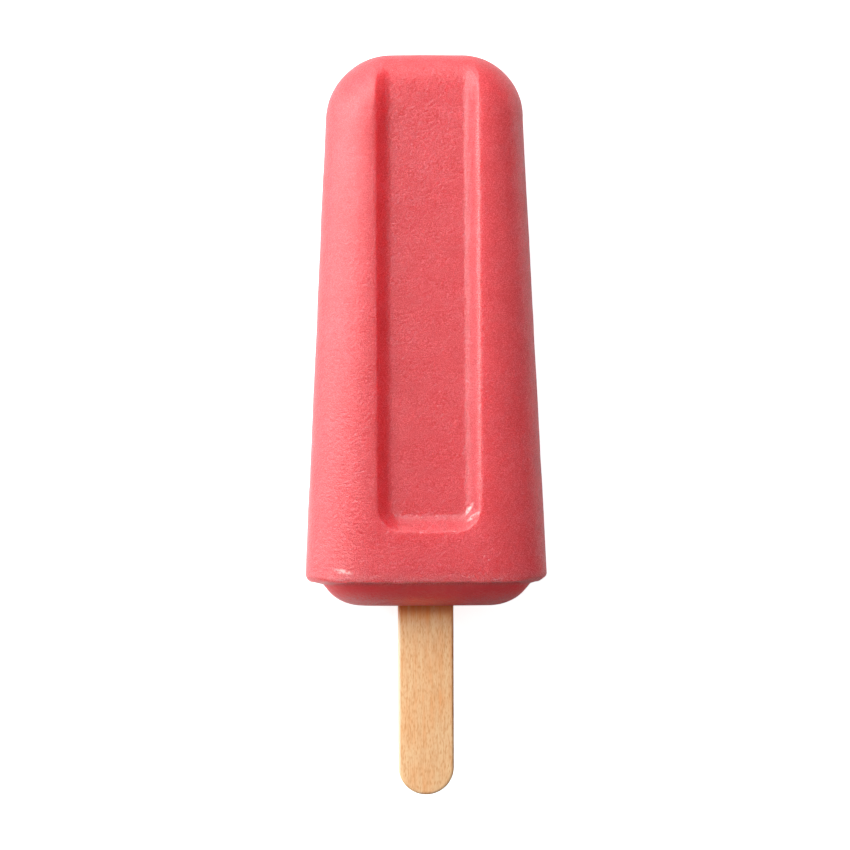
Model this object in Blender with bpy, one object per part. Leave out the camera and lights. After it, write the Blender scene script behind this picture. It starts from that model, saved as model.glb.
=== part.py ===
"""An ice pop lying on its back: a moulded bar of fruit ice with a sunken panel in each broad face, on a
flat wooden stick.

Metres, +Z up. Each piece is modelled on the pop's own axis, with +Y towards the tip and +Z out of the
front face. An empty then lays the pop down, so that its drafted back face is level and the box's bottom
centre is at the origin.
"""

import math

import bmesh
import bpy
from mathutils import Vector

MM = 0.001

# The moulded bar: its sides and faces lean in towards the tip, as a mould needs.
BAR_LENGTH = 94.1 * MM
BASE_WIDTH, TIP_WIDTH = 43.2 * MM, 34.3 * MM
BASE_DEPTH, TIP_DEPTH = 26.0 * MM, 20.0 * MM
SHOULDER_RADIUS = 11.4 * MM
TIP_CROWN = 0.3 * MM

# The pillowed long edges: how far the rounding runs in from the side, and how deep it drops.
BASE_SPREAD, TIP_SPREAD = 11.6 * MM, 7.6 * MM
EDGE_DROP = 7.5 * MM

# The sunken panel, measured half way up its sloping wall. It is open at the tip.
PANEL_HALF_WIDTH = 8.05 * MM
PANEL_START = 11.5 * MM
PANEL_CORNER = 3.4 * MM
PANEL_SINK = 2.4 * MM
WALL_RUN = 3.8 * MM
RUN_OUT_BLEND = 2.0 * MM

# The base: a rounded rim, a ledge under it, and a smaller foot that the stick comes out of.
RIM_RADIUS, RIM_TURN = 1.6 * MM, math.radians(74)
LEDGE_INSET = 2.75 * MM
FOOT_LENGTH = 4.45 * MM
FOOT_ARC_RADIUS, FOOT_LEAN = 7.7 * MM, math.radians(40.5)

# The stick, of which the mould's holder leaves the end free.
STICK_LENGTH, STICK_WIDTH, STICK_THICKNESS = 114.0 * MM, 10.0 * MM, 2.0 * MM
STICK_FREE = 33.9 * MM
STICK_EDGE = 0.4 * MM
STICK_GAP = 0.3 * MM

# How finely each stretch is cut.
FACE_STEPS, WALL_STEPS, LOBE_STEPS, SIDE_STEPS = 2, 6, 7, 2
RIM_STEPS, FOOT_STEPS, PANEL_END_STEPS, MIDDLE_STEPS, TIP_STEPS, CAP_STEPS = 4, 5, 9, 6, 10, 2
END_STEPS, BEVEL_STEPS = 16, 3
LAST_TIP_ANGLE, TIP_FIT = math.radians(80), 0.9
CREASE_ANGLE = math.radians(35)

ICE_COLOUR, ICE_ROUGHNESS = (0.74, 0.10, 0.12), 0.45
BIRCH_COLOUR, BIRCH_ROUGHNESS = (0.84, 0.52, 0.28), 0.6

SIDE_DRAFT = math.atan((BASE_WIDTH - TIP_WIDTH) / 2 / BAR_LENGTH)
FACE_DRAFT = math.atan((BASE_DEPTH - TIP_DEPTH) / 2 / BAR_LENGTH)
RIM_HEIGHT = RIM_RADIUS * math.sin(RIM_TURN)
WALL_INNER, WALL_OUTER = PANEL_HALF_WIDTH - WALL_RUN / 2, PANEL_HALF_WIDTH + WALL_RUN / 2


def between(start, end, share):
    return start + (end - start) * share


def half_width(y):
    return between(BASE_WIDTH, TIP_WIDTH, y / BAR_LENGTH) / 2


def half_depth(y):
    return between(BASE_DEPTH, TIP_DEPTH, y / BAR_LENGTH) / 2


def spread(y):
    return between(BASE_SPREAD, TIP_SPREAD, y / BAR_LENGTH)


SHOULDER_Y = BAR_LENGTH - SHOULDER_RADIUS
SHOULDER_X = half_width(SHOULDER_Y) - SHOULDER_RADIUS / math.cos(SIDE_DRAFT)


def outline_x(y, inward=0.0):
    """Half the bar's width at y, on its front outline moved inward by that much."""
    radius = SHOULDER_RADIUS - inward
    if y > SHOULDER_Y + radius * math.sin(SIDE_DRAFT):
        return SHOULDER_X + math.sqrt(max(radius**2 - (y - SHOULDER_Y) ** 2, 0.0))
    return half_width(y) - inward / math.cos(SIDE_DRAFT)


def inside_distance(x, y):
    """How far (x, y) lies inside the front outline."""
    if x > SHOULDER_X and y > SHOULDER_Y:
        return SHOULDER_RADIUS - math.hypot(x - SHOULDER_X, y - SHOULDER_Y)
    return min(BAR_LENGTH - y, (half_width(y) - x) * math.cos(SIDE_DRAFT))


def pillow_height(y, distance):
    """The front face's height where the outline is that far away."""
    share = min(max(distance / spread(y), 0.0), 1.0)
    return half_depth(y) - EDGE_DROP * (1 - math.sqrt(1 - (1 - share) ** 2))


def panel_share(x, y):
    """0 outside the sunken panel, 1 on its floor, and a smooth wall between."""
    dx = x - (PANEL_HALF_WIDTH - PANEL_CORNER)
    dy = PANEL_START + PANEL_CORNER - y
    outside = math.hypot(max(dx, 0.0), max(dy, 0.0)) + min(max(dx, dy), 0.0) - PANEL_CORNER
    share = min(max(0.5 - outside / WALL_RUN, 0.0), 1.0)
    return share**3 * (share * (6 * share - 15) + 10)


def sunk(x, y, height):
    """The height once the panel is pressed in. The floor runs out smoothly where the nose drops below it."""
    floor = half_depth(y) - PANEL_SINK
    blend = max(RUN_OUT_BLEND - abs(height - floor), 0.0) ** 2 / (4 * RUN_OUT_BLEND)
    return between(height, min(height, floor) - blend, panel_share(x, y))


def face_places():
    """The x of the columns from the centre line to the top of the panel's wall."""
    floor = [WALL_INNER * i / FACE_STEPS for i in range(FACE_STEPS)]
    wall = [between(WALL_INNER, WALL_OUTER, i / WALL_STEPS) for i in range(WALL_STEPS + 1)]
    return floor + wall


def body_quarter(y):
    """A quarter of the cross-section at y, from the middle of the front to the middle of the side."""
    fit = min(1.0, TIP_FIT * outline_x(y) / WALL_OUTER)
    points = []
    for place in face_places():
        x = place * fit
        points.append((x, sunk(x, y, pillow_height(y, inside_distance(x, y)))))
    reach = spread(y)
    start = math.acos(1 - min(inside_distance(WALL_OUTER * fit, y) / reach, 1.0))
    for step in range(1, LOBE_STEPS + 1):
        distance = reach * (1 - math.cos(start * (1 - step / LOBE_STEPS)))
        x = outline_x(y, distance)
        points.append((x, sunk(x, y, pillow_height(y, distance))))
    x, height = points[-1]
    return points + [(x, height * (1 - step / SIDE_STEPS)) for step in range(1, SIDE_STEPS + 1)]


def inset_quarter(inset):
    """A quarter of the base's cross-section, drawn in by inset on every side."""
    across = 1 - inset / half_width(0.0)
    through = 1 - inset / half_depth(0.0)
    return [(x * across, z * through) for x, z in body_quarter(0.0)]


def ring(quarter, y):
    """The whole closed cross-section as points, going once round."""
    front = [(-x, z) for x, z in reversed(quarter[1:])] + quarter
    back = [(x, -z) for x, z in reversed(front[1:-1])]
    return [Vector((x, y, z)) for x, z in front + back]


def crowned(y, x):
    """The tip's edge bows out a little between the shoulders."""
    share = max(1 - (x / SHOULDER_X) ** 2, 0.0)
    return y + TIP_CROWN * share**2 * max((y - SHOULDER_Y) / SHOULDER_RADIUS, 0.0) ** 2


def foot_profile():
    """(inset, y) from the edge of the foot's flat end up to the top of the rim."""
    points = []
    wall_top = -RIM_RADIUS * (1 - math.cos(RIM_TURN)) + LEDGE_INSET
    ledge_y = -wall_top / math.tan(RIM_TURN)
    arc_start = -FOOT_LENGTH + FOOT_ARC_RADIUS * (1 - math.sin(FOOT_LEAN))
    wall_end = LEDGE_INSET + (ledge_y - arc_start) * math.tan(FOOT_LEAN)
    for step in range(FOOT_STEPS + 1):
        lean = between(math.pi / 2, FOOT_LEAN, step / FOOT_STEPS)
        inset = wall_end + FOOT_ARC_RADIUS * (math.cos(FOOT_LEAN) - math.cos(lean))
        points.append((inset, -FOOT_LENGTH + FOOT_ARC_RADIUS * (1 - math.sin(lean))))
    points.append((LEDGE_INSET, ledge_y))
    for step in range(RIM_STEPS + 1):
        turn = RIM_TURN * (1 - step / RIM_STEPS)
        points.append((RIM_RADIUS * (1 - math.cos(turn)), RIM_HEIGHT - RIM_RADIUS * math.sin(turn)))
    return points


def body_stations():
    """The y of each cross-section above the rim: closer together at the panel's end and round the tip."""
    panel_low = PANEL_START - WALL_RUN / 2
    panel_high = PANEL_START + PANEL_CORNER
    ends = [between(panel_low, panel_high, step / PANEL_END_STEPS) for step in range(PANEL_END_STEPS)]
    middle = [between(panel_high, SHOULDER_Y, step / MIDDLE_STEPS) for step in range(MIDDLE_STEPS)]
    angles = [LAST_TIP_ANGLE * step / TIP_STEPS for step in range(TIP_STEPS + 1)]
    return ends + middle + [SHOULDER_Y + SHOULDER_RADIUS * math.sin(angle) for angle in angles]


def bar_rings():
    """Every cross-section in order, from the foot's flat end to the middle of the tip."""
    rings = [ring(inset_quarter(inset), y) for inset, y in foot_profile()]
    rings += [ring(body_quarter(y), y) for y in body_stations()]
    last = rings[-1]
    for step in range(1, CAP_STEPS + 1):
        share = 1 - step / (CAP_STEPS + 1)
        rings.append([Vector((point.x * share, point.y, point.z * share)) for point in last])
    for points in rings:
        for point in points:
            point.y = crowned(point.y, abs(point.x))
    return rings


def finish_mesh(name, bm, material, parent):
    """Turns a bmesh into a smooth-shaded object that hangs on the pop's axis."""
    bmesh.ops.recalc_face_normals(bm, faces=bm.faces)
    mesh = bpy.data.meshes.new(name)
    bm.to_mesh(mesh)
    bm.free()
    mesh.shade_smooth()
    mesh.set_sharp_from_angle(angle=CREASE_ANGLE)
    mesh.materials.append(material)
    piece = bpy.data.objects.new(name, mesh)
    bpy.context.scene.collection.objects.link(piece)
    piece.parent = parent
    return piece


def finish(name, colour, roughness):
    material = bpy.data.materials.new(name)
    material.use_nodes = True
    shader = material.node_tree.nodes["Principled BSDF"]
    shader.inputs["Base Color"].default_value = (*colour, 1.0)
    shader.inputs["Roughness"].default_value = roughness
    shader.inputs["Metallic"].default_value = 0.0
    return material


def build_bar(parent):
    """The bar is lofted through its cross-sections and capped at both ends."""
    bm = bmesh.new()
    loops = []
    for points in bar_rings():
        verts = [bm.verts.new(point) for point in points]
        pairs = zip(verts, verts[1:] + verts[:1])
        loops.append([bm.edges.new(pair) for pair in pairs])
    for lower, upper in zip(loops, loops[1:]):
        bmesh.ops.bridge_loops(bm, edges=lower + upper)
    for end in (loops[0], loops[-1]):
        bmesh.ops.contextual_create(bm, geom=end)
    return finish_mesh("frozen_bar", bm, finish("fruit_ice", ICE_COLOUR, ICE_ROUGHNESS), parent)


def blade(name, width, thickness, length, edge, material, parent):
    """A flat bar with half-round ends and eased edges, from y = 0 to y = length."""
    radius = width / 2
    bm = bmesh.new()
    verts = []
    for centre_y, first_angle in ((length - radius, 0.0), (radius, math.pi)):
        for step in range(END_STEPS + 1):
            angle = first_angle + math.pi * step / END_STEPS
            place = (radius * math.cos(angle), centre_y + radius * math.sin(angle), -thickness / 2)
            verts.append(bm.verts.new(place))
    outline = bm.faces.new(verts)
    top = bmesh.ops.extrude_face_region(bm, geom=[outline])["geom"]
    raised = [item for item in top if isinstance(item, bmesh.types.BMVert)]
    bmesh.ops.translate(bm, verts=raised, vec=(0, 0, thickness))
    if edge:
        rims = [item for item in bm.edges if abs(item.verts[0].co.z - item.verts[1].co.z) < thickness / 2]
        bmesh.ops.bevel(
            bm, geom=rims, offset=edge, segments=BEVEL_STEPS, profile=0.5, affect="EDGES", material=-1
        )
    return finish_mesh(name, bm, material, parent)


def build_stick(parent):
    stick = blade(
        "stick",
        STICK_WIDTH,
        STICK_THICKNESS,
        STICK_LENGTH,
        STICK_EDGE,
        finish("birch", BIRCH_COLOUR, BIRCH_ROUGHNESS),
        parent,
    )
    stick.location.y = -FOOT_LENGTH - STICK_FREE
    return stick


def cut_stick_slot(bar, stick, parent):
    """The ice closes round the stick, with a hair's gap between the two solids."""
    cutter = blade(
        "stick_slot",
        STICK_WIDTH + 2 * STICK_GAP,
        STICK_THICKNESS + 2 * STICK_GAP,
        STICK_LENGTH + 2 * STICK_GAP,
        0.0,
        stick.active_material,
        parent,
    )
    cutter.location.y = stick.location.y - STICK_GAP
    cutter.hide_render = True
    cutter.display_type = "WIRE"
    slot = bar.modifiers.new("stick_slot", "BOOLEAN")
    slot.operation = "DIFFERENCE"
    slot.solver = "EXACT"
    slot.object = cutter


def set_down(axis, pieces):
    """Levels the drafted back face, then puts the box's bottom centre at the origin."""
    axis.rotation_euler.x = -FACE_DRAFT
    bpy.context.view_layer.update()
    corners = [piece.matrix_world @ vert.co for piece in pieces for vert in piece.data.vertices]
    low = Vector(map(min, *corners))
    high = Vector(map(max, *corners))
    axis.location = (-(low.x + high.x) / 2, -(low.y + high.y) / 2, -low.z)
    bpy.context.view_layer.update()


def main():
    for old in list(bpy.data.objects):
        bpy.data.objects.remove(old)
    axis = bpy.data.objects.new("pop_axis", None)
    bpy.context.scene.collection.objects.link(axis)
    bar = build_bar(axis)
    stick = build_stick(axis)
    cut_stick_slot(bar, stick, axis)
    set_down(axis, [bar, stick])


main()
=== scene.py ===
"""An ice pop lying on its back: a moulded bar of red fruit ice on a flat wooden stick.

The solid model is the frame. Each operator below dresses one part of it, or sets the stage, and main runs
them in order. Lengths are in metres. The pop's own axes are +Y towards the tip and +Z out of its front face.
"""

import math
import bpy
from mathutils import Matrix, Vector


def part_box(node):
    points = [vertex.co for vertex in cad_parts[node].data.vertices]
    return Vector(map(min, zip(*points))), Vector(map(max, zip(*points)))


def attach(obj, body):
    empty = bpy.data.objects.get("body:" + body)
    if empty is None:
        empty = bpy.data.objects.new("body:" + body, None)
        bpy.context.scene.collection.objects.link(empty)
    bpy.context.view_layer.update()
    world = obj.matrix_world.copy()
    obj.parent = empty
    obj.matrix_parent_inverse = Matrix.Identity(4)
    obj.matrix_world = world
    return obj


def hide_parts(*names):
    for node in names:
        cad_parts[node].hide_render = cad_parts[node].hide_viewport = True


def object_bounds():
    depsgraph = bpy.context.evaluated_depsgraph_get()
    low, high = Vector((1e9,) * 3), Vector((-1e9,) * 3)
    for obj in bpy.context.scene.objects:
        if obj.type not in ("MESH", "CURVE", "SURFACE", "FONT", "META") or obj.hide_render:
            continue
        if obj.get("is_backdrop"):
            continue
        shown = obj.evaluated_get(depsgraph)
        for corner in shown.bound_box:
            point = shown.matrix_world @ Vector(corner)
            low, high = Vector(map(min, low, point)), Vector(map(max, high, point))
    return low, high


bl_info = {
    "name": "Ice Pop",
    "version": (1, 0, 0),
    "blender": (4, 5, 0),
    "location": "3D View > Sidebar > Ice Pop",
    "description": "Makes an ice pop with its fruit ice, wooden stick, floor and lights",
    "category": "Add Mesh",
}

import bmesh
import bpy
from bpy.props import FloatProperty, FloatVectorProperty, IntProperty, PointerProperty
from mathutils import Matrix, Vector, noise

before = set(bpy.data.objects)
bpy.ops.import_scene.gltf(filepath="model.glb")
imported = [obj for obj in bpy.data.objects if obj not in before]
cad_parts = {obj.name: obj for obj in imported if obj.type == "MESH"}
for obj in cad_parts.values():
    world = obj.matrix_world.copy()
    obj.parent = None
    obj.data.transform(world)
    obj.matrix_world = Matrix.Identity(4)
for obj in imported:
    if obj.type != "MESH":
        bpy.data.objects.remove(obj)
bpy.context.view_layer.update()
BAR_LOW, BAR_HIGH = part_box("frozen_bar")
STICK_LOW, STICK_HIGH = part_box("stick")

MM = 0.001
# Painted highlights (glints) on the ice: place in mm, half length and half width in mm, turn in degrees, strength
PAINTED_GLINTS = (
    ((-15.0, 2.3, 11.9), (1.9, 0.5), -8, 1.0),
    ((7.5, 13.4, 10.9), (1.6, 0.4), 58, 0.8),
    ((8.1, 12.0, 12.0), (1.7, 0.4), 38, 0.8),
)


# ---------------------------------------------------------------------------------------------------------
# Properties


def length(name, description, millimetres, **more):
    """A length property whose default is given in millimetres."""
    return FloatProperty(
        name=name, description=description, default=millimetres * MM, unit="LENGTH", precision=5, **more
    )


def share(name, description, default, **more):
    """A plain number from 0 to 1."""
    return FloatProperty(
        name=name, description=description, default=default, min=0.0, max=1.0, subtype="FACTOR", **more
    )


def colour(name, description, default):
    """A linear colour without alpha."""
    return FloatVectorProperty(
        name=name, description=description, default=default, size=3, min=0.0, max=1.0, subtype="COLOR"
    )


class BarShape(bpy.types.PropertyGroup):
    """The moulded bar's sizes, as in the solid model."""

    bar_length: length("Bar length", "From the ledge to the tip", 94.35)
    base_width: length("Base width", "Across the bar at the ledge", (BAR_HIGH.x - BAR_LOW.x) / MM)
    tip_width: length("Tip width", "Across the bar if its sides ran on to the tip", 34.3)
    base_depth: length("Base depth", "Front to back at the ledge", 26.0)
    tip_depth: length("Tip depth", "Front to back if the faces ran on to the tip", 20.0)
    shoulder_radius: length("Shoulder radius", "Rounding of the tip's corners, seen from the front", 11.4)
    tip_crown: length("Tip crown", "How far the tip's edge bows out between the shoulders", 0.4)
    right_shoulder: length("Right shoulder", "How much fuller the tip's right corner is than its left", 0.3)
    base_spread: length("Base spread", "How far the long edges' rounding runs in at the base", 11.6)
    tip_spread: length("Tip spread", "How far the long edges' rounding runs in at the tip", 7.6)
    edge_drop: length("Edge drop", "How deep the long edges' rounding drops", 7.5)
    panel_half_width: length("Panel half width", "Half way up the sunken panel's wall", 7.85)
    panel_shift: length("Panel shift", "How far the panel lies to the right of the middle", 0.28)
    panel_start: length("Panel start", "From the ledge to half way up the panel's end wall", 10.85)
    panel_corner: length("Panel corner", "Radius of the panel's lower corners", 2.9)
    panel_sink: length("Panel sink", "Depth of the sunken panel", 2.1)
    wall_run: length("Wall run", "Width of the panel's sloping side walls", 3.0)
    end_run: length("End run", "Width of the panel's sloping end wall", 3.3)
    run_out_blend: length("Run-out blend", "How softly the panel's floor runs out at the tip", 1.7)
    rim_radius_front: length("Front rim radius", "Rounding of the base's rim on the front and the back", 0.35)
    rim_radius_left: length("Left rim radius", "Rounding of the base's rim on the left", 1.45)
    rim_radius_right: length("Right rim radius", "Rounding of the base's rim on the right", 2.0)
    rim_turn: FloatProperty(
        name="Rim turn", description="How far the sides' rim turns under before it meets the ledge",
        default=math.radians(76), subtype="ANGLE",
    )
    rim_lift: length("Rim lift", "How much higher the rim's edge sits than the ledge", 0.34)
    ledge_inset: length("Ledge inset", "How far the foot stands in from the rim", 2.85)
    left_inset: length("Left inset", "How far the foot stands in from the rim on the left", 3.2)
    foot_length: length("Foot length", "From the ledge to the foot's flat end", 4.15)
    foot_arc_radius: length("Foot arc radius", "Rounding of the foot's end", 9.0)
    slot_gap: length("Slot gap", "Gap between the ice and the stick", 0.03)
    swell: length("Swell", "Height of the ice's broad, shallow unevenness", 0.07)
    ripple: length("Ripple", "Height of the ice's small softened ripples", 0.012)
    lip_wave: length("Lip wave", "How far the lip's edge wanders up and down", 0.18)


class StickShape(bpy.types.PropertyGroup):
    """The wooden stick's sizes."""

    full_length: length("Length", "End to end, with the part inside the ice", 114.0)
    width: length("Width", "Across the stick", (STICK_HIGH.x - STICK_LOW.x) / MM)
    thickness: length("Thickness", "Front to back", 2.0)
    free_length: length("Free length", "How much of the stick stands out of the ice", 34.05)
    edge_radius: length("Edge radius", "Rounding that tumbling gives the edges", 0.55)


class IceFinish(bpy.types.PropertyGroup):
    """Colours and surface of the fruit ice."""

    crystal: colour("Crystal", "The pale tops of the fine crystals", (0.885, 0.105, 0.145))
    juice: colour("Juice", "The darker juice between them", (0.67, 0.000, 0.006))
    # painted shade: a deep, saturated red with almost no green or blue, laid on the foot under the ledge
    foot_shade: colour("Wet", "The wetter ice of the foot", (1.0, 0.002, 0.018))
    # pale colour for real rime on the foot's corners and for painted highlights along the lip and the panel's right
    # edge
    rime_and_highlight: colour("Frost", "Pale rime on thin edges", (0.86, 0.36, 0.36))
    # painted highlight: the pale colour laid on at the glints listed at the top
    painted_glint: colour("Glint", "A wet chip beside the lip", (0.95, 0.62, 0.60))
    roughness: share("Roughness", "Of the ice's surface", 0.33)
    scatter: length("Scatter", "How far red light travels inside the ice", 9.0)
    sheen: share("Sheen", "Of the fine frost, seen at a grazing angle", 0.15)
    grain: length("Grain size", "Size of the surface's fine crystals", 0.16)
    grain_height: length("Grain height", "Height of the fine crystals", 0.085)
    wrinkle: length("Wrinkle size", "Size of the surface's small wrinkles", 0.6)
    wrinkle_height: length("Wrinkle height", "Height of the small wrinkles", 0.11)


class WoodFinish(bpy.types.PropertyGroup):
    """Colours and surface of the wooden stick."""

    pale: colour("Pale wood", "The wood's main colour", (1.0, 0.655, 0.355))
    warm: colour("Warm wood", "Warmer streaks and blotches", (0.97, 0.44, 0.17))
    fibre: colour("Fibre", "Fine fibres and short pores", (0.78, 0.31, 0.10))
    # partly real rubbing, partly painted shade on the right edge, which faces away from the light
    burnish_and_shade: colour("Burnished edge", "The rubbed edge on the right", (0.44, 0.14, 0.03))
    # a browner, darker tone on the stick next to the ice
    near_ice_tone: colour("Damp wood", "Where juice has soaked in beside the ice", (0.96, 0.29, 0.06))
    # painted highlight: the left edge made paler, as where it faces the light
    painted_left_highlight: colour("Planed edge", "The pale edge on the left", (1.0, 0.80, 0.58))
    roughness: share("Roughness", "Of the sanded wood", 0.46)
    # how far the browner, darker tone runs along the stick from the ice
    near_ice_reach: length("Damp reach", "How far the juice has soaked along the stick", 3.6)


class StageLook(bpy.types.PropertyGroup):
    """Floor, lights and camera."""

    floor_colour: colour("Floor", "The floor's colour", (0.93, 0.93, 0.93))
    floor_glow: share("Floor glow", "Light the floor gives of its own, as a lit sweep does", 0.85)
    floor_bounce: share("Floor bounce", "How much of its light the floor sends back up to the pop", 0.76)
    card_glow: share("Card glow", "Light from a low white card on the left", 0.75)
    right_glow: share("Right glow", "Light from a low white card on the right", 0.28)
    room_light: FloatProperty(name="Room light", description="Even light from all round", default=0.01)
    key_power: FloatProperty(name="Key power", description="Softbox at the upper left", default=2.35, unit="POWER")
    side_power: FloatProperty(name="Side power", description="Low softbox on the left", default=1.1, unit="POWER")
    top_power: FloatProperty(name="Top power", description="Softbox nearly overhead", default=2.8, unit="POWER")
    right_power: FloatProperty(name="Right power", description="High softbox on the right", default=1.35, unit="POWER")
    tip_power: FloatProperty(name="Tip power", description="Low, wide softbox beyond the tip", default=3.6, unit="POWER")
    fill_power: FloatProperty(name="Fill power", description="Weak light from beyond the stick", default=1.1, unit="POWER")
    lens: FloatProperty(name="Lens", description="Focal length in millimetres", default=200.0, unit="CAMERA")
    view_width: length("View width", "Width of the view at the pop", 153.0)
    view_from_left: FloatProperty(
        name="View from left", description="How far the camera stands to the left", default=math.radians(2.0),
        subtype="ANGLE",
    )
    view_roll: FloatProperty(
        name="View roll", description="How far the pop leans in the view", default=math.radians(0.2),
        subtype="ANGLE",
    )


class IcePopSettings(bpy.types.PropertyGroup):
    """Everything about the pop and its stage."""

    bar: PointerProperty(type=BarShape)
    stick: PointerProperty(type=StickShape)
    ice: PointerProperty(type=IceFinish)
    wood: PointerProperty(type=WoodFinish)
    stage: PointerProperty(type=StageLook)


# ---------------------------------------------------------------------------------------------------------
# Placing


def between(start, end, part):
    return start + (end - start) * part


def smooth(low, high, value):
    """0 below low, 1 above high and a smooth step between."""
    part = min(max((value - low) / (high - low), 0.0), 1.0)
    return part * part * (3 - 2 * part)


def face_draft(bar):
    """How far the faces lean in towards the tip."""
    return math.atan((bar.base_depth - bar.tip_depth) / 2 / bar.bar_length)


def pop_place(settings):
    """Takes the pop's own axes to where it lies: the middle of the stick is the middle of its box."""
    draft = face_draft(settings.bar)
    turn = Matrix.Rotation(-draft, 4, "X")
    middle = settings.stick.full_length / 2 - settings.bar.foot_length - settings.stick.free_length
    at = (STICK_LOW + STICK_HIGH) / 2 - turn @ Vector((0, middle, 0))
    return Matrix.Translation(at) @ turn


# ---------------------------------------------------------------------------------------------------------
# The bar's form


class BarForm:
    """Works out the bar's cross-sections from its sizes."""

    face_steps, wall_steps, lobe_steps, side_steps = 16, 20, 36, 6

    def __init__(self, bar, stick):
        self.bar = bar
        self.stick = stick
        self.side_draft = math.atan((bar.base_width - bar.tip_width) / 2 / bar.bar_length)
        self.shoulder_y = bar.bar_length - bar.shoulder_radius
        self.shoulder_x = self.half_width(self.shoulder_y) - bar.shoulder_radius / math.cos(self.side_draft)
        self.wall_inner = bar.panel_half_width - bar.wall_run / 2
        self.wall_outer = bar.panel_half_width + bar.wall_run / 2

    def half_width(self, y):
        return between(self.bar.base_width, self.bar.tip_width, y / self.bar.bar_length) / 2

    def half_depth(self, y):
        return between(self.bar.base_depth, self.bar.tip_depth, y / self.bar.bar_length) / 2

    def outline_x(self, y):
        """Half the bar's width at y, seen from the front."""
        radius = self.bar.shoulder_radius
        if y > self.shoulder_y + radius * math.sin(self.side_draft):
            return self.shoulder_x + math.sqrt(max(radius**2 - (y - self.shoulder_y) ** 2, 0.0))
        return self.half_width(y)

    def inside_distance(self, x, y):
        """How far (x, y) lies inside the front outline."""
        if x > self.shoulder_x and y > self.shoulder_y:
            away = math.hypot(x - self.shoulder_x, y - self.shoulder_y)
            return max(self.bar.shoulder_radius - away, 0.0)
        return max(min(self.bar.bar_length - y, (self.half_width(y) - x) * math.cos(self.side_draft)), 0.0)

    def pillow_height(self, x, y):
        """The front face's height before the panel is pressed in."""
        spread = between(self.bar.base_spread, self.bar.tip_spread, y / self.bar.bar_length)
        part = min(self.inside_distance(x, y) / spread, 1.0)
        return self.half_depth(y) - self.bar.edge_drop * (1 - math.sqrt(1 - (1 - part) ** 2))

    def panel_share(self, x, y):
        """0 outside the sunken panel, 1 on its floor, and a smooth wall between."""
        bar = self.bar
        dx = x - (bar.panel_half_width - bar.panel_corner)
        dy = bar.panel_start + bar.panel_corner - y
        across, along = max(dx, 0.0), max(dy, 0.0)
        reach = math.hypot(across, along)
        outside = reach + min(max(dx, dy), 0.0) - bar.panel_corner
        endward = (along / max(reach, 1e-9)) ** 2
        run = between(bar.wall_run, bar.end_run, endward)
        part = min(max(0.5 - outside / run, 0.0), 1.0) ** 0.8
        return part * part * (3 - 2 * part)

    def height(self, x, y):
        """The front face's height with the panel pressed in. Its floor runs out smoothly at the tip."""
        top = self.pillow_height(x, y)
        floor = self.half_depth(y) - self.bar.panel_sink
        soft = self.bar.run_out_blend
        blend = max(soft - abs(top - floor), 0.0) ** 2 / (4 * soft)
        return between(top, min(top, floor) - blend, self.panel_share(x, y))

    def quarter(self, y):
        """A quarter of the cross-section at y, from the middle of the front to the middle of the side."""
        edge = self.outline_x(y)
        fit = min(1.0, 0.9 * edge / self.wall_outer)
        floor = [self.wall_inner * i / self.face_steps for i in range(self.face_steps)]
        wall = [
            between(self.wall_inner, self.wall_outer, i / self.wall_steps) for i in range(self.wall_steps + 1)
        ]
        start = self.wall_outer * fit
        turns = [math.pi / 2 * i / self.lobe_steps for i in range(1, self.lobe_steps + 1)]
        places = [x * fit for x in floor + wall] + [between(start, edge, math.sin(turn)) for turn in turns]
        points = [(x, self.height(x, y)) for x in places]
        side = points[-1][1]
        drops = [1 - i / self.side_steps for i in range(1, self.side_steps + 1)]
        return points + [(edge, side * drop) for drop in drops]

    def ring(self, quarter):
        """The whole closed cross-section, going once round from the left side over the front."""
        front = [(-x, z) for x, z in reversed(quarter[1:])] + quarter
        return front + [(x, -z) for x, z in reversed(front[1:-1])]

    def rim_profile(self, rim_radius, turn, ledge_inset):
        """(inset, y) down the foot's slope, along the ledge and round the rim."""
        bar = self.bar
        lean, steps = math.radians(40.5), 12
        rim_foot = rim_radius * (1 - math.cos(turn))
        ledge_y = -(ledge_inset - rim_foot) / math.tan(turn)
        arc_start = -bar.foot_length + bar.foot_arc_radius * (1 - math.sin(lean))
        arc_end = ledge_inset + (ledge_y - arc_start) * math.tan(lean)
        points = []
        for i in range(steps + 1):
            angle = between(math.pi / 2, lean, i / steps)
            inset = arc_end + bar.foot_arc_radius * (math.cos(lean) - math.cos(angle))
            points.append((inset, -bar.foot_length + bar.foot_arc_radius * (1 - math.sin(angle))))
        for i in range(1, 5):
            points.append((between(arc_end, ledge_inset, i / 4), between(arc_start, ledge_y, i / 4)))
        for i in range(1, 4):
            points.append((between(ledge_inset, rim_foot, i / 4), between(ledge_y, 0.0, i / 4)))
        for i in range(steps + 1):
            angle = turn * (1 - i / steps)
            inset = rim_radius * (1 - math.cos(angle))
            points.append((inset, rim_radius * (math.sin(turn) - math.sin(angle))))
        rim_top = points[-1][1]
        points += [(0.0, between(rim_top, bar.rim_radius_right, i / 4)) for i in range(1, 4)]
        return points

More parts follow.
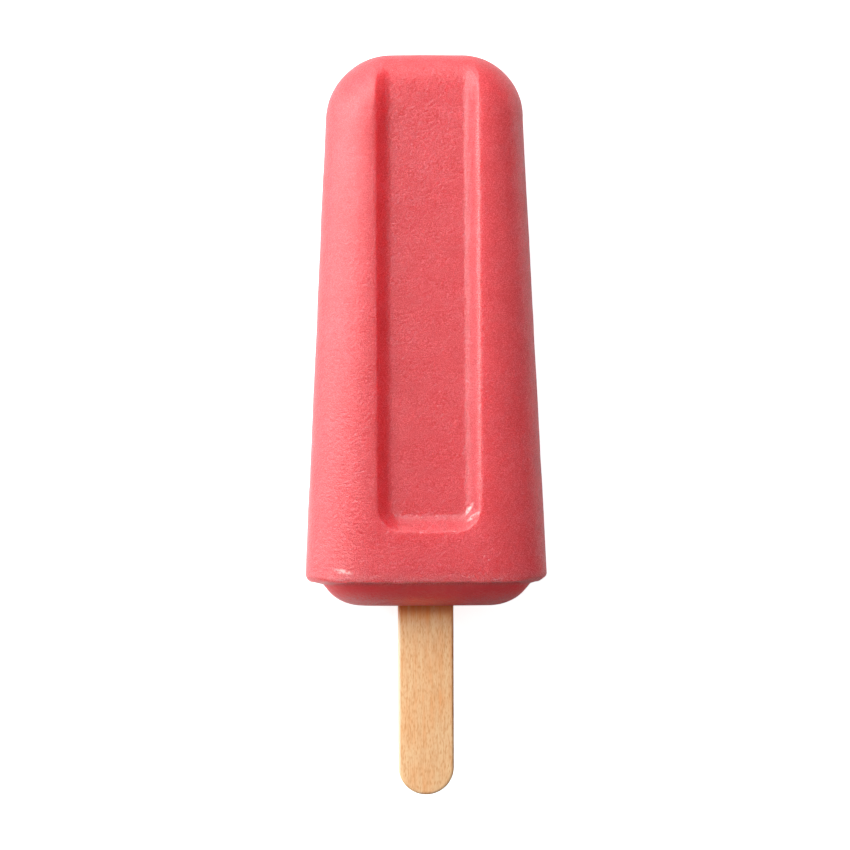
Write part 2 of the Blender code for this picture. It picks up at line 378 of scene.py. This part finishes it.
    def base_rings(self):
        """The rings of the foot, the ledge and the rim, which differs on the front, the left and the right."""
        bar = self.bar
        whole = self.ring(self.quarter(0.0))
        half_width, half_depth = self.half_width(0.0), self.half_depth(0.0)
        front = self.rim_profile(bar.rim_radius_front, math.radians(89), bar.ledge_inset)
        left = self.rim_profile(bar.rim_radius_left, bar.rim_turn, bar.left_inset)
        right = self.rim_profile(bar.rim_radius_right, bar.rim_turn, bar.ledge_inset)
        rings = []
        for middle, low, high in zip(front, left, right):
            points = []
            for x, z in whole:
                side = smooth(0.72, 0.97, abs(x) / half_width)
                inset, y = (between(a, b, side) for a, b in zip(middle, high if x > 0 else low))
                lift = bar.rim_lift * smooth(-3.0 * MM, 0.0, y) * (1 - smooth(0.3 * MM, bar.rim_radius_right, y))
                up = max(y, 0.0)
                across = (1 - inset / half_width) * self.half_width(up) / half_width
                through = (1 - inset / half_depth) * self.half_depth(up) / half_depth
                points.append(Vector((x * across, y + lift, z * through)))
            rings.append(points)
        return rings

    def slot_rings(self):
        """The slot that the stick fills, from its closed end to its mouth in the foot's flat end."""
        gap, stick = self.bar.slot_gap, self.stick
        half = Vector((stick.width / 2 + gap, 0, stick.thickness / 2 + gap))
        end = stick.full_length - stick.free_length - self.bar.foot_length + gap
        flat = self.base_rings()[0]
        rings = []
        for y in (end, -self.bar.foot_length + 0.15 * MM, -self.bar.foot_length):
            points = []
            for point in flat:
                reach = max(abs(point.x) / half.x, abs(point.z) / half.z, 1e-9)
                points.append(Vector((point.x / reach, y, point.z / reach)))
            rings.append(points)
        for part in (0.15, 0.4, 0.7, 0.9):
            rings.append([between(a, b, part) for a, b in zip(rings[2], flat)])
        return rings

    def body_rings(self):
        """The rings from the rim to the tip, closer together at the panel's end and round the tip."""
        panel_low = self.bar.panel_start - self.bar.end_run / 2
        panel_high = self.bar.panel_start + self.bar.panel_corner
        first = self.bar.rim_radius_right
        spans = ((first, panel_low, 18), (panel_low, panel_high, 26), (panel_high, self.shoulder_y, 130))
        places = [between(low, high, i / steps) for low, high, steps in spans for i in range(steps)]
        turns = [math.pi / 2 * i / 36 for i in range(37)]
        places += [self.shoulder_y + self.bar.shoulder_radius * math.sin(turn) for turn in turns]
        return [[Vector((x, y, z)) for x, z in self.ring(self.quarter(y))] for y in places]

    def eased(self, point):
        """Small departures from symmetry: a bowed tip, a fuller right shoulder and a panel off the middle."""
        bar = self.bar
        bow = max(1 - ((point.x - 1.5 * MM) / self.outline_x(self.shoulder_y)) ** 2, 0.0)
        rise = max((point.y - self.shoulder_y) / bar.shoulder_radius, 0.0)
        reach = max((point.x - self.shoulder_x) / bar.shoulder_radius, 0.0)
        shift = max(1 - (point.x / self.outline_x(point.y)) ** 2, 0.0) * smooth(0.0, 6 * MM, point.y)
        x = point.x + bar.panel_shift * shift + 2 * bar.right_shoulder * rise * reach * reach
        y = point.y + bar.tip_crown * bow * rise**2 + 2 * bar.right_shoulder * rise * rise * reach
        return Vector((x, y, point.z))

    def rings(self):
        """Every ring in order, from the slot's closed end to the small ring in the middle of the tip."""
        outer = self.base_rings() + self.body_rings()
        last = outer[-1]
        for part in (0.8, 0.6, 0.4, 0.2):
            outer.append([Vector((point.x * part, point.y, point.z * part)) for point in last])
        return self.slot_rings() + [[self.eased(point) for point in points] for points in outer]


def wrap_grid(rings):
    """Rolls a grid up into a tube through the rings, and closes its seam and both ends."""
    around, along = len(rings[0]), len(rings) - 1
    bm = bmesh.new()
    bmesh.ops.create_grid(bm, x_segments=around, y_segments=along, size=1.0)
    for vert in bm.verts:
        column = round((vert.co.x + 1) / 2 * around) % around
        row = round((vert.co.y + 1) / 2 * along)
        vert.co = rings[row][column]
    bmesh.ops.remove_doubles(bm, verts=bm.verts, dist=0.002 * MM)
    open_edges = [edge for edge in bm.edges if edge.is_boundary]
    bmesh.ops.holes_fill(bm, edges=open_edges, sides=0)
    bmesh.ops.recalc_face_normals(bm, faces=bm.faces)
    return bm


def soften(bm, bar):
    """Gives the moulded ice its shallow unevenness: broad swells, small ripples and a wandering lip."""
    bm.normal_update()
    moves = []
    for vert in bm.verts:
        place = vert.co / MM
        in_slot = place.y < 80 and max(abs(place.x) / 5.2, abs(place.z) / 1.2) < 1
        if place.y > -bar.foot_length / MM + 0.01 and not in_slot:
            swell = noise.noise(place / 11) + 0.5 * noise.noise(place / 5 + Vector((7, 3, 1)))
            ripple = noise.noise(place / 1.7 + Vector((3, 9, 5)))
            moves.append(vert.normal * (bar.swell * swell + bar.ripple * ripple))
        else:
            moves.append(Vector())
    for vert, move in zip(bm.verts, moves):
        place = vert.co / MM
        near_lip = math.exp(-((place.y - 0.1) / 0.7) ** 2)
        wander = noise.noise(Vector((place.x / 5, place.z / 5, 4)))
        wander += 0.9 * noise.noise(Vector((place.x / 1.6, place.z / 1.6, 8)))
        vert.co += move
        if max(abs(place.x) / 5.2, abs(place.z) / 1.2) > 1:
            vert.co.y += bar.lip_wave * near_lip * wander


def mark_rime_and_highlights(bm, bar):
    """Stores how much pale colour each point carries: painted highlights as a band and a thin line along the lip and a
    thin line along the panel's right edge, and real rime on the foot's lower corners. Also stores how much of the
    foot's painted shade colour each point takes.
    """
    layer, foot_shade = bm.verts.layers.float.new("rime_and_highlight"), bm.verts.layers.float.new("foot_shade")
    for vert in bm.verts:
        place = vert.co / MM
        # painted highlights: a pale band and a thin pale line along the lip; the foot's corners below get real rime
        lip_band_highlight = math.exp(-((place.y - 1.1) / 0.8) ** 2)
        lip_line_highlight = math.exp(-((place.y - 0.4) / 0.3) ** 2)
        corner = smooth(-1.0, -4.0, place.y) * smooth(2.0, 13.0, abs(place.x + 1) + 0.25 * (-place.x))
        # painted highlight: a thin pale line along the panel's right edge, on the front
        edge = math.exp(-((place.x - 9.2) / 0.4) ** 2) * smooth(12, 18, place.y) * smooth(88, 80, place.y)
        edge *= smooth(0.0, 1.0, place.z)
        vert[layer] = min(max(0.14 * lip_band_highlight + 0.32 * lip_line_highlight, 0.8 * corner, 0.42 * edge), 1.0)
        # painted shade share: full on the foot under the ledge, none above it
        vert[foot_shade] = smooth(0.2, -0.6, place.y)


def finish_piece(name, bm, material, place, node):
    """Puts a finished mesh into the scene, in its place, riding on the pop."""
    bmesh.ops.transform(bm, matrix=place, verts=bm.verts)
    mesh = bpy.data.meshes.new(name)
    bm.to_mesh(mesh)
    bm.free()
    mesh.shade_smooth()
    mesh.materials.append(material)
    piece = bpy.data.objects.new(name, mesh)
    bpy.context.scene.collection.objects.link(piece)
    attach(piece, "root")
    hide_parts(node)
    return piece


# ---------------------------------------------------------------------------------------------------------
# Materials


def new_group(name, inputs, outputs):
    """A shader node group with float, vector or colour sockets."""
    group = bpy.data.node_groups.new(name, "ShaderNodeTree")
    for direction, sockets in (("INPUT", inputs), ("OUTPUT", outputs)):
        for label, kind in sockets:
            group.interface.new_socket(name=label, in_out=direction, socket_type=kind)
    return group, group.nodes.new("NodeGroupInput"), group.nodes.new("NodeGroupOutput")


def add(tree, kind, values=None, **settings):
    """A node with its settings and the values of its unlinked inputs."""
    node = tree.nodes.new(kind)
    for key, value in settings.items():
        setattr(node, key, value)
    for key, value in (values or {}).items():
        node.inputs[key].default_value = value
    return node


def link(tree, *pairs):
    for source, target in pairs:
        tree.links.new(source, target)


def math_node(tree, operation, first, second):
    """A Math node of two values, each a socket or a number."""
    node = add(tree, "ShaderNodeMath", operation=operation)
    for socket, value in zip(node.inputs, (first, second)):
        if isinstance(value, bpy.types.NodeSocket):
            tree.links.new(value, socket)
        else:
            socket.default_value = value
    return node.outputs[0]


def mix_colour(tree, factor, first, second):
    """Mixes two colours, each a socket or a linear colour."""
    node = add(tree, "ShaderNodeMix", data_type="RGBA")
    tree.links.new(factor, node.inputs["Factor"])
    for socket, value in ((node.inputs["A"], first), (node.inputs["B"], second)):
        if isinstance(value, bpy.types.NodeSocket):
            tree.links.new(value, socket)
        else:
            socket.default_value = (*value, 1.0)
    return node.outputs["Result"]


def fine_grain_group():
    """Grain at one size over soft mottling at a larger one, for ice and wood alike."""
    group, entry, leave = new_group(
        "fine_grain",
        (("Vector", "NodeSocketVector"), ("Grain Scale", "NodeSocketFloat"), ("Mottle Scale", "NodeSocketFloat")),
        (("Grain", "NodeSocketFloat"), ("Mottle", "NodeSocketFloat")),
    )
    grain = add(group, "ShaderNodeTexNoise", {"Detail": 1.5, "Roughness": 0.5})
    mottle = add(group, "ShaderNodeTexNoise", {"Detail": 4.0, "Roughness": 0.65})
    spread = add(group, "ShaderNodeMapRange", {"From Min": 0.35, "From Max": 0.65})
    link(
        group,
        (entry.outputs["Vector"], grain.inputs["Vector"]),
        (entry.outputs["Vector"], mottle.inputs["Vector"]),
        (entry.outputs["Grain Scale"], grain.inputs["Scale"]),
        (entry.outputs["Mottle Scale"], mottle.inputs["Scale"]),
        (mottle.outputs["Fac"], spread.inputs["Value"]),
        (grain.outputs["Fac"], leave.inputs["Grain"]),
        (spread.outputs["Result"], leave.inputs["Mottle"]),
    )
    return group


def new_material(name, draft, scale=(1.0, 1.0, 1.0)):
    """A material with its shader and with Object coordinates turned to the pop's own axes."""
    material = bpy.data.materials.new(name)
    material.use_nodes = True
    tree = material.node_tree
    coordinates = add(tree, "ShaderNodeTexCoord")
    mapping = add(tree, "ShaderNodeMapping", {"Rotation": (draft, 0.0, 0.0), "Scale": scale})
    link(tree, (coordinates.outputs["Object"], mapping.inputs["Vector"]))
    return material, tree, tree.nodes["Principled BSDF"], mapping.outputs["Vector"]


def grain_node(tree, vector, grain_size, mottle_size):
    """The fine grain group placed with its own sizes, in metres."""
    group = bpy.data.node_groups.get("fine_grain") or fine_grain_group()
    node = add(tree, "ShaderNodeGroup", node_tree=group)
    node.inputs["Grain Scale"].default_value = 1 / grain_size
    node.inputs["Mottle Scale"].default_value = 1 / mottle_size
    link(tree, (vector, node.inputs["Vector"]))
    return node


def spot(tree, place, size, turn=0.0):
    """A mask that is 1 at place and fades out at size from it, as an ellipsoid turned about Z."""
    coordinates = add(tree, "ShaderNodeTexCoord")
    mapping = add(
        tree,
        "ShaderNodeMapping",
        {"Location": place, "Rotation": (0.0, 0.0, turn), "Scale": size},
        vector_type="TEXTURE",
    )
    ball = add(tree, "ShaderNodeTexGradient", gradient_type="SPHERICAL")
    link(
        tree,
        (coordinates.outputs["Object"], mapping.inputs["Vector"]),
        (mapping.outputs["Vector"], ball.inputs["Vector"]),
    )
    return ball.outputs["Fac"]


def ice_material(settings):
    """Frozen fruit: translucent red with a fine crystal grain, wrinkles, mottling, real rime on the foot's corners,
    painted highlights along the lip, the panel's right edge and at three glints, and a painted shade colour on the
    foot.
    """
    ice = settings.ice
    material, tree, shader, vector = new_material("red_fruit_ice", face_draft(settings.bar))
    crystals = grain_node(tree, vector, ice.grain, 6 * MM)
    wrinkles = grain_node(tree, vector, ice.wrinkle, 2.6 * MM)

    cloud = math_node(tree, "MULTIPLY", crystals.outputs["Mottle"], 0.16)
    patch = math_node(tree, "MULTIPLY", wrinkles.outputs["Mottle"], 0.10)
    sparkle = add(tree, "ShaderNodeMapRange", {"From Min": 0.3, "From Max": 0.7, "To Min": 1.4, "To Max": -0.26})
    sparkle.clamp = False
    link(tree, (crystals.outputs["Grain"], sparkle.inputs["Value"]))
    depth = math_node(tree, "ADD", math_node(tree, "ADD", cloud, patch), sparkle.outputs["Result"])
    depth = math_node(tree, "MAXIMUM", math_node(tree, "MINIMUM", depth, 1.0), 0.0)
    flesh = mix_colour(tree, depth, ice.crystal, ice.juice)
    # painted shade: the foot under the ledge takes a deeper, more saturated red
    foot_shade = add(tree, "ShaderNodeAttribute", attribute_name="foot_shade")
    flesh = mix_colour(tree, math_node(tree, "MULTIPLY", foot_shade.outputs["Fac"], 0.88), flesh, ice.foot_shade)

    # pale colour laid on as painted highlights along the lip and the panel's right edge, and as real rime on the
    # foot's corners
    rime_and_highlight = add(tree, "ShaderNodeAttribute", attribute_name="rime_and_highlight")
    broken = add(tree, "ShaderNodeMapRange", {"From Min": 0.43, "From Max": 0.57, "To Min": 0.05})
    link(tree, (crystals.outputs["Grain"], broken.inputs["Value"]))
    rime_highlight_mix = math_node(tree, "MULTIPLY", rime_and_highlight.outputs["Fac"], broken.outputs["Result"])
    flesh = mix_colour(tree, rime_highlight_mix, flesh, ice.rime_and_highlight)
    # painted highlights: pale glint colour laid on at fixed places, broken up by the wrinkle noise
    glint_sum = 0.0
    for (x, y, z), (long, wide), turn, most in PAINTED_GLINTS:
        place = pop_place(settings) @ (Vector((x, y, z)) * MM)
        glint_mask = spot(tree, place, (long * MM, wide * MM, 3 * MM), math.radians(turn))
        glint_sum = math_node(tree, "ADD", glint_sum, math_node(tree, "MULTIPLY", glint_mask, most))
    ragged = add(tree, "ShaderNodeMapRange", {"From Min": 0.38, "From Max": 0.55, "To Min": 0.2, "To Max": 1.7})
    link(tree, (wrinkles.outputs["Grain"], ragged.inputs["Value"]))
    glint_mask = math_node(tree, "MINIMUM", math_node(tree, "MULTIPLY", glint_sum, ragged.outputs["Result"]), 0.9)
    link(tree, (mix_colour(tree, glint_mask, flesh, ice.painted_glint), shader.inputs["Base Color"]))

    rough = add(tree, "ShaderNodeMapRange", {"To Min": ice.roughness - 0.08, "To Max": ice.roughness + 0.08})
    relief = math_node(tree, "MULTIPLY", crystals.outputs["Grain"], ice.grain_height / ice.wrinkle_height)
    relief = math_node(tree, "ADD", wrinkles.outputs["Grain"], relief)
    bump = add(tree, "ShaderNodeBump", {"Strength": 1.0, "Distance": ice.wrinkle_height})
    link(
        tree,
        (crystals.outputs["Grain"], rough.inputs["Value"]),
        (rough.outputs["Result"], shader.inputs["Roughness"]),
        (relief, bump.inputs["Height"]),
        (bump.outputs["Normal"], shader.inputs["Normal"]),
    )
    shader.inputs["Subsurface Weight"].default_value = 1.0
    shader.inputs["Subsurface Radius"].default_value = (1.0, 0.065, 0.055)
    shader.inputs["Subsurface Scale"].default_value = ice.scatter
    shader.inputs["IOR"].default_value = 1.54
    shader.inputs["Sheen Weight"].default_value = ice.sheen
    shader.inputs["Sheen Roughness"].default_value = 0.4
    shader.inputs["Specular IOR Level"].default_value = 1.0
    return material


def wood_material(settings):
    """Pale sanded birch: fine fibres, short pores and warm blotches; a darker right edge that is partly burnished and
    partly painted shade, a painted highlight along the left edge, and a browner, darker end towards the ice.
    """
    wood, stick = settings.wood, settings.stick
    material, tree, shader, along = new_material("sanded_birch", face_draft(settings.bar), scale=(1.0, 0.035, 1.0))
    coordinates = add(tree, "ShaderNodeTexCoord")
    broad = add(tree, "ShaderNodeMapping", {"Scale": (1.0, 0.35, 1.0)})
    short = add(tree, "ShaderNodeMapping", {"Scale": (1.0, 0.22, 1.0)})
    for mapping in (broad, short):
        link(tree, (coordinates.outputs["Object"], mapping.inputs["Vector"]))
    fibres = grain_node(tree, along, 0.22 * MM, 1.0 * MM)
    pores = grain_node(tree, short.outputs["Vector"], 0.2 * MM, 0.45 * MM)
    blotches = grain_node(tree, broad.outputs["Vector"], 0.6 * MM, 2.8 * MM)

    warmth = math_node(tree, "MULTIPLY", fibres.outputs["Mottle"], blotches.outputs["Mottle"])
    warmth = math_node(tree, "MULTIPLY", warmth, 0.95)
    tone = mix_colour(tree, warmth, wood.pale, wood.warm)
    for source, low, high, most in ((fibres, 0.5, 0.72, 0.45), (pores, 0.48, 0.72, 0.7)):
        darker = add(tree, "ShaderNodeMapRange", {"From Min": low, "From Max": high, "To Max": most})
        link(tree, (source.outputs["Grain"], darker.inputs["Value"]))
        tone = mix_colour(tree, darker.outputs["Result"], tone, wood.fibre)

    split = add(tree, "ShaderNodeSeparateXYZ")
    link(tree, (coordinates.outputs["Object"], split.inputs["Vector"]))
    # darker right edge: burnished spots plus painted shade where the edge turns away from the light
    edge = add(
        tree,
        "ShaderNodeMapRange",
        {"From Min": stick.width / 2 - 0.55 * MM, "From Max": stick.width / 2 - 0.05 * MM, "To Max": 0.9},
        interpolation_type="SMOOTHSTEP",
    )
    link(tree, (split.outputs["X"], edge.inputs["Value"]))
    worn_and_shaded = math_node(tree, "MULTIPLY", edge.outputs["Result"], math_node(tree, "ADD", blotches.outputs["Mottle"], 0.3))
    tone = mix_colour(tree, math_node(tree, "MINIMUM", worn_and_shaded, 1.0), tone, wood.burnish_and_shade)

    # painted highlight: a paler band along the left edge, which faces the light
    left_highlight_mask = add(
        tree,
        "ShaderNodeMapRange",
        {"From Min": 0.6 * MM - stick.width / 2, "From Max": 0.1 * MM - stick.width / 2, "To Max": 0.9},
        interpolation_type="SMOOTHSTEP",
    )
    link(tree, (split.outputs["X"], left_highlight_mask.inputs["Value"]))
    tone = mix_colour(tree, left_highlight_mask.outputs["Result"], tone, wood.painted_left_highlight)

    # browner and darker towards the ice, unevenly along the fibres
    ice_end = (pop_place(settings) @ Vector((0, -settings.bar.foot_length, 0))).y
    near_ice_ramp = add(
        tree,
        "ShaderNodeMapRange",
        {"From Min": ice_end - wood.near_ice_reach, "From Max": ice_end, "To Max": 1.0},
        interpolation_type="SMOOTHSTEP",
    )
    link(tree, (split.outputs["Y"], near_ice_ramp.inputs["Value"]))
    uneven = math_node(tree, "ADD", math_node(tree, "MULTIPLY", fibres.outputs["Mottle"], 0.45), 0.5)
    near_ice_tone = math_node(tree, "MINIMUM", math_node(tree, "MULTIPLY", near_ice_ramp.outputs["Result"], uneven), 1.0)
    link(tree, (mix_colour(tree, near_ice_tone, tone, wood.near_ice_tone), shader.inputs["Base Color"]))

    bump = add(tree, "ShaderNodeBump", {"Strength": 0.3, "Distance": 0.05 * MM})
    rough = add(tree, "ShaderNodeMapRange", {"To Min": wood.roughness - 0.1, "To Max": wood.roughness + 0.1})
    link(
        tree,
        (fibres.outputs["Grain"], bump.inputs["Height"]),
        (bump.outputs["Normal"], shader.inputs["Normal"]),
        (fibres.outputs["Grain"], rough.inputs["Value"]),
        (rough.outputs["Result"], shader.inputs["Roughness"]),
    )
    shader.inputs["IOR"].default_value = 1.5
    return material


def floor_material(stage):
    """A pale matt sweep with a faint cloudiness. It glows so that the camera sees it white. To the pop it glows on its
    left and right halves in place of low white cards, and beyond the stick's end it is painted darker as shade.
    """
    material, tree, shader, vector = new_material("pale_floor", 0.0)
    cloud = grain_node(tree, vector, 0.8 * MM, 60 * MM)
    soft = math_node(tree, "MULTIPLY", cloud.outputs["Mottle"], 0.15)
    darker = tuple(value * 0.98 for value in stage.floor_colour)
    tone = mix_colour(tree, soft, stage.floor_colour, darker)
    path = add(tree, "ShaderNodeLightPath")
    seen = path.outputs["Is Camera Ray"]
    split = add(tree, "ShaderNodeSeparateXYZ")
    # glowing floor strips on the left and right, unseen by the camera, light the pop in place of white cards
    card = add(tree, "ShaderNodeMapRange", {"From Min": -0.005, "From Max": -0.035, "To Max": stage.card_glow})
    far = add(tree, "ShaderNodeMapRange", {"From Min": 0.03, "From Max": 0.06, "To Max": stage.right_glow})
    link(
        tree,
        (vector, split.inputs["Vector"]),
        (split.outputs["X"], card.inputs["Value"]),
        (split.outputs["X"], far.inputs["Value"]),
    )
    cards = math_node(tree, "ADD", card.outputs["Result"], far.outputs["Result"])
    unseen = math_node(tree, "MULTIPLY", cards, math_node(tree, "SUBTRACT", 1.0, seen))
    glow = math_node(tree, "ADD", math_node(tree, "MULTIPLY", seen, stage.floor_glow), unseen)
    dim = tuple(value * stage.floor_bounce for value in stage.floor_colour)
    # painted shade: the floor beyond the stick's end is darker for all rays but the camera's
    shade = add(tree, "ShaderNodeMapRange", {"From Min": -0.032, "From Max": -0.05, "To Max": 0.6})
    link(tree, (split.outputs["Y"], shade.inputs["Value"]))
    dim = mix_colour(tree, shade.outputs["Result"], dim, (0.0, 0.0, 0.0))
    link(
        tree,
        (mix_colour(tree, seen, dim, tone), shader.inputs["Base Color"]),
        (tone, shader.inputs["Emission Color"]),
        (glow, shader.inputs["Emission Strength"]),
    )
    shader.inputs["Roughness"].default_value = 0.9
    return material


# ---------------------------------------------------------------------------------------------------------
# Operators


class ICEPOP_OT_bar(bpy.types.Operator):
    """Makes the moulded bar of fruit ice"""

    bl_idname = "ice_pop.bar"
    bl_label = "Fruit ice bar"
    bl_options = {"REGISTER", "UNDO"}

    def execute(self, context):
        settings = context.scene.ice_pop
        form = BarForm(settings.bar, settings.stick)
        bm = wrap_grid(form.rings())
        soften(bm, settings.bar)
        mark_rime_and_highlights(bm, settings.bar)
        finish_piece("ice_bar", bm, ice_material(settings), pop_place(settings), "frozen_bar")
        return {"FINISHED"}


class ICEPOP_OT_stick(bpy.types.Operator):
    """Makes the flat wooden stick"""

    bl_idname = "ice_pop.stick"
    bl_label = "Wooden stick"
    bl_options = {"REGISTER", "UNDO"}

    def execute(self, context):
        settings = context.scene.ice_pop
        shape = settings.stick
        radius, low = shape.width / 2, -settings.bar.foot_length - shape.free_length
        bm = bmesh.new()
        circle = bmesh.ops.create_circle(bm, cap_ends=True, segments=80, radius=radius)["verts"]
        half_step = Matrix.Rotation(math.pi / 80, 3, "Z")
        bmesh.ops.rotate(bm, verts=circle, matrix=half_step, cent=(0, 0, 0))
        far = [vert for vert in circle if vert.co.y > 0]
        bmesh.ops.translate(bm, verts=far, vec=(0, shape.full_length - shape.width, 0))
        bmesh.ops.translate(bm, verts=circle, vec=(0, low + radius, -shape.thickness / 2))
        grown = bmesh.ops.extrude_face_region(bm, geom=list(bm.faces))["geom"]
        raised = [item for item in grown if isinstance(item, bmesh.types.BMVert)]
        bmesh.ops.translate(bm, verts=raised, vec=(0, 0, shape.thickness))
        rims = [edge for edge in bm.edges if abs(edge.verts[0].co.z - edge.verts[1].co.z) < 0.1 * MM]
        bmesh.ops.bevel(
            bm, geom=rims, offset=shape.edge_radius, segments=5, profile=0.5, affect="EDGES", material=-1
        )
        bmesh.ops.recalc_face_normals(bm, faces=bm.faces)
        finish_piece("wooden_stick", bm, wood_material(settings), pop_place(settings), "stick")
        return {"FINISHED"}


def add_light(name, power, size, tilt, azimuth, away=0.9):
    """A square softbox facing the pop, tilt degrees from overhead and azimuth degrees round from +X."""
    lamp = bpy.data.lights.new(name, "AREA")
    lamp.energy = power
    lamp.shape = "SQUARE"
    lamp.size = size
    light = bpy.data.objects.new(name, lamp)
    turn = Matrix.Rotation(math.radians(azimuth), 4, "Z") @ Matrix.Rotation(math.radians(tilt), 4, "Y")
    light.matrix_world = turn @ Matrix.Translation((0, 0, away))
    bpy.context.scene.collection.objects.link(light)
    return light


class ICEPOP_OT_stage(bpy.types.Operator):
    """Sets the floor, the lights and the camera"""

    bl_idname = "ice_pop.stage"
    bl_label = "Stage"
    bl_options = {"REGISTER", "UNDO"}

    def execute(self, context):
        settings = context.scene.ice_pop
        stage = settings.stage
        bm = bmesh.new()
        bmesh.ops.create_grid(bm, x_segments=4, y_segments=4, size=1.5)
        mesh = bpy.data.meshes.new("floor")
        bm.to_mesh(mesh)
        bm.free()
        mesh.materials.append(floor_material(stage))
        floor = bpy.data.objects.new("floor", mesh)
        context.scene.collection.objects.link(floor)
        floor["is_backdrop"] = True

        world = bpy.data.worlds.new("soft_room")
        world.use_nodes = True
        tree = world.node_tree
        background = tree.nodes["Background"]
        background.inputs["Color"].default_value = (1.0, 1.0, 1.0, 1.0)
        path = add(tree, "ShaderNodeLightPath")
        seen = add(tree, "ShaderNodeMapRange", {"To Min": stage.room_light, "To Max": 1.0})
        link(
            tree,
            (path.outputs["Is Camera Ray"], seen.inputs["Value"]),
            (seen.outputs["Result"], background.inputs["Strength"]),
        )
        context.scene.world = world

        add_light("key", stage.key_power, 0.34, 50, 148, 0.6)
        add_light("side", stage.side_power, 0.3, 80, 168, 0.45)
        add_light("top", stage.top_power, 0.5, 38, 110)
        add_light("right", stage.right_power, 0.45, 42, 25)
        add_light("tip_light", stage.tip_power, 0.7, 73, 102)
        add_light("fill", stage.fill_power, 0.5, 48, 275)

        low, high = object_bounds()
        middle = Vector((0, (low.y + high.y) / 2, (STICK_LOW.z + STICK_HIGH.z) / 2))
        lens = bpy.data.cameras.new("camera")
        lens.lens, lens.sensor_width = stage.lens, 36.0
        away = stage.view_width * stage.lens / lens.sensor_width
        lens.clip_start, lens.clip_end = away * 0.1, away * 10
        camera = bpy.data.objects.new("camera", lens)
        face = Matrix.Rotation(-face_draft(settings.bar), 4, "X") @ Matrix.Rotation(-stage.view_from_left, 4, "Y")
        roll = Matrix.Rotation(-stage.view_roll, 4, "Z")
        camera.matrix_world = Matrix.Translation(middle) @ face @ roll @ Matrix.Translation((0, 0, away))
        context.scene.collection.objects.link(camera)
        context.scene.camera = camera
        context.scene.view_settings.view_transform = "Standard"
        return {"FINISHED"}


class ICEPOP_PT_sidebar(bpy.types.Panel):
    """Lists the pop's pieces and its stage"""

    bl_idname = "ICEPOP_PT_sidebar"
    bl_label = "Ice Pop"
    bl_space_type = "VIEW_3D"
    bl_region_type = "UI"
    bl_category = "Ice Pop"

    def draw(self, context):
        settings = context.scene.ice_pop
        for title, group, operator in (
            ("Bar", settings.bar, "ice_pop.bar"),
            ("Ice", settings.ice, None),
            ("Stick", settings.stick, "ice_pop.stick"),
            ("Wood", settings.wood, None),
            ("Stage", settings.stage, "ice_pop.stage"),
        ):
            box = self.layout.box()
            box.label(text=title)
            for name in group.__annotations__:
                box.prop(group, name)
            if operator:
                box.operator(operator)


CLASSES = (
    BarShape,
    StickShape,
    IceFinish,
    WoodFinish,
    StageLook,
    IcePopSettings,
    ICEPOP_OT_bar,
    ICEPOP_OT_stick,
    ICEPOP_OT_stage,
    ICEPOP_PT_sidebar,
)


def register():
    for cls in CLASSES:
        bpy.utils.register_class(cls)
    bpy.types.Scene.ice_pop = PointerProperty(type=IcePopSettings)


def unregister():
    del bpy.types.Scene.ice_pop
    for cls in reversed(CLASSES):
        bpy.utils.unregister_class(cls)


def main():
    register()
    bpy.ops.ice_pop.bar()
    bpy.ops.ice_pop.stick()
    bpy.ops.ice_pop.stage()


if __name__ == "__main__":
    main()
